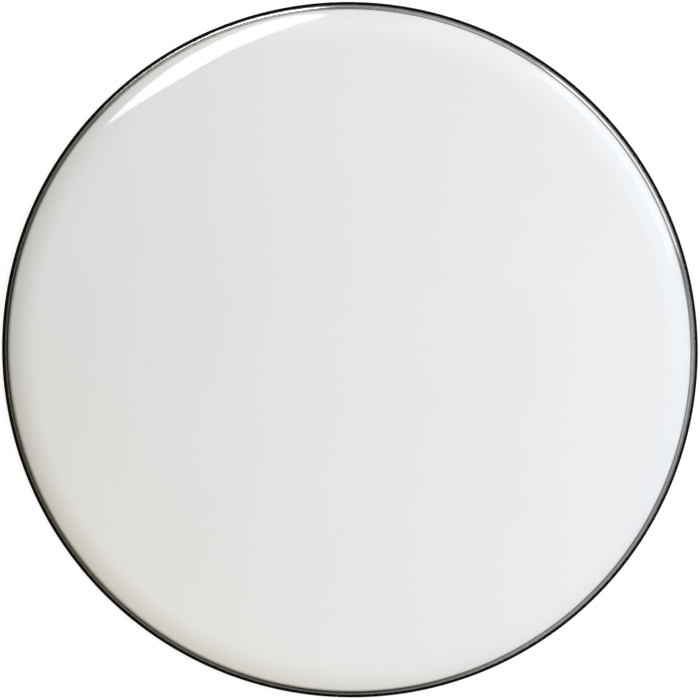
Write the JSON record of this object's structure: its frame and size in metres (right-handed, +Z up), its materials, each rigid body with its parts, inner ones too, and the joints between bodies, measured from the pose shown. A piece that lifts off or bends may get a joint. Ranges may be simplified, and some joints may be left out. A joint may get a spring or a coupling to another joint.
{
  "type": "bass drum head",
  "caption": "Round two-ply white film drum head with a formed collar, its edge keyed in resin inside a rolled aluminium flesh hoop.",
  "frame": {"origin": "centre of the flesh hoop's bottom plane, with the head lying playing face up", "axes": "+Z up out of the playing face along the head's axis; +X to the right and +Y to the top of the head as pictured"},
  "size_m": [0.5714, 0.5714, 0.0214],
  "materials": {
    "white_film": "smooth semi-gloss polyester film",
    "hoop_aluminium": "mill finish, rolled, fine lines round the ring",
    "splice_aluminium": "plain mill finish",
    "cured_resin": "cured casting resin"
  },
  "bodies": {
    "root": {"flesh_hoop": "hoop_aluminium", "hoop_splice": "splice_aluminium", "resin_bead": "cured_resin", "upper_ply": "white_film", "lower_ply": "white_film"}
  },
  "joints": []
}
